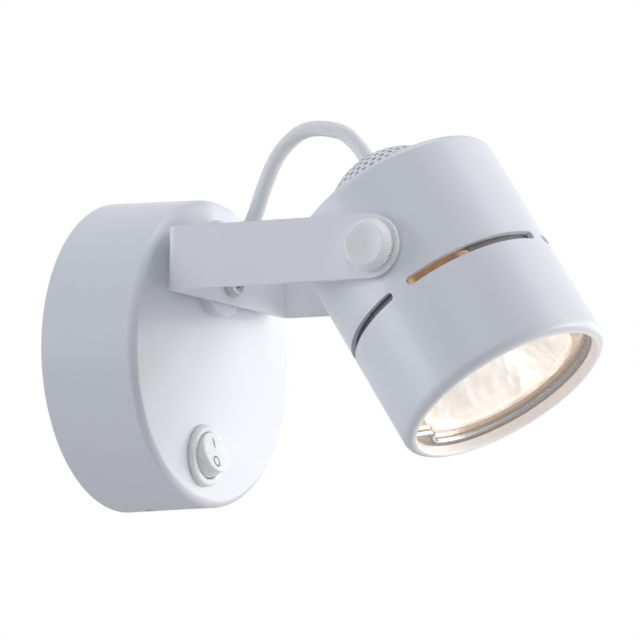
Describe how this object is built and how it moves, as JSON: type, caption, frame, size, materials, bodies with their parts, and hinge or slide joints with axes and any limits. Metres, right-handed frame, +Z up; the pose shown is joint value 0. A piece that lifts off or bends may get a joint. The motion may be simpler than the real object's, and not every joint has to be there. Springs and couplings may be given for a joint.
{
  "type": "wall spotlight",
  "caption": "White wall spotlight: round base with rocker switch, U-shaped swivel bracket and a slotted, tilting lamp head fed by a short loop of flex.",
  "frame": {"origin": "centre of the base's rim on the wall, midway between the two wall screws", "axes": "+Y into the wall, so the light stands out along -Y; +Z up; +X to the right for someone facing the wall"},
  "size_m": [0.088, 0.1475, 0.1085],
  "materials": {
    "white_paint": "satin white powder coat",
    "head_paint": "satin white powder coat",
    "white_plastic": "semi-gloss white",
    "zinc_steel": "bright zinc plate",
    "brass": "plain brass",
    "polished_ring": "polished",
    "dark_steel": "dark oxide",
    "block_plastic": "natural moulded plastic",
    "bush_rubber": "white rubber",
    "flex_sleeve": "white woven sleeve",
    "lead_plastic": "wire insulation",
    "ceramic": "unglazed steatite",
    "lamp_mirror": "aluminised glass",
    "lamp_glass": "clear glass"
  },
  "bodies": {
    "base": {"base_shell": "white_paint", "wall_strap": "zinc_steel", "cover_screws": "zinc_steel", "terminal_block": "block_plastic", "terminal_tubes": "brass", "terminal_screws": "zinc_steel", "block_screw": "zinc_steel", "earth_screw": "brass", "switch_body": "white_plastic", "switch_terminals": "zinc_steel", "cable_bush": "bush_rubber", "flex_collar": "block_plastic", "flex_tail_base": "flex_sleeve", "base_leads": "lead_plastic", "swivel_boss": "white_paint", "friction_washer": "block_plastic", "swivel_screw": "zinc_steel", "swivel_washer": "zinc_steel", "swivel_nut": "zinc_steel", "flex_cable": "flex_sleeve"},
    "rocker": {"switch_rocker": "white_plastic"},
    "bracket": {"u_bracket": "white_paint"},
    "head": {"head_shell": "head_paint", "rear_dome": "head_paint", "dome_gland": "bush_rubber", "flex_tail_head": "flex_sleeve", "head_leads": "lead_plastic", "holder_bracket": "zinc_steel", "holder_screws": "zinc_steel", "lamp_holder": "ceramic", "lamp_base": "ceramic", "lamp_pins": "zinc_steel", "lamp_reflector": "lamp_mirror", "lamp_lens": "lamp_glass", "lamp_capsule": "lamp_glass", "front_ring": "polished_ring", "retaining_wire": "zinc_steel", "slot_baffle": "dark_steel", "pivot_inserts": "zinc_steel"},
    "left_knob": {"left_knob": "white_plastic", "left_stud": "zinc_steel"},
    "right_knob": {"right_knob": "white_plastic", "right_stud": "zinc_steel"}
  },
  "joints": [
    {"name": "bracket_swivel", "type": "hinge", "parent": "base", "child": "bracket", "pos_m": [0, -0.0348, 0.0203], "axis": [0, 1, 0], "range_deg": [-20, 20], "deforming": ["flex_cable"]},
    {"name": "head_tilt", "type": "hinge", "parent": "bracket", "child": "head", "pos_m": [0, -0.0976, 0.02264], "axis": [1, 0, 0], "range_deg": [-20, 10], "deforming": ["flex_cable"]},
    {"name": "switch_rock", "type": "hinge", "parent": "base", "child": "rocker", "pos_m": [-0.0044, -0.0302, -0.0294], "axis": [1, 0, 0], "range_deg": [0, 33]},
    {"name": "left_knob_turn", "type": "hinge", "parent": "head", "child": "left_knob", "pos_m": [0, -0.0976, 0.02264], "axis": [-1, 0, 0], "range_deg": [0, 180]},
    {"name": "right_knob_turn", "type": "hinge", "parent": "head", "child": "right_knob", "pos_m": [0, -0.0976, 0.02264], "axis": [1, 0, 0], "range_deg": [0, 180]}
  ]
}
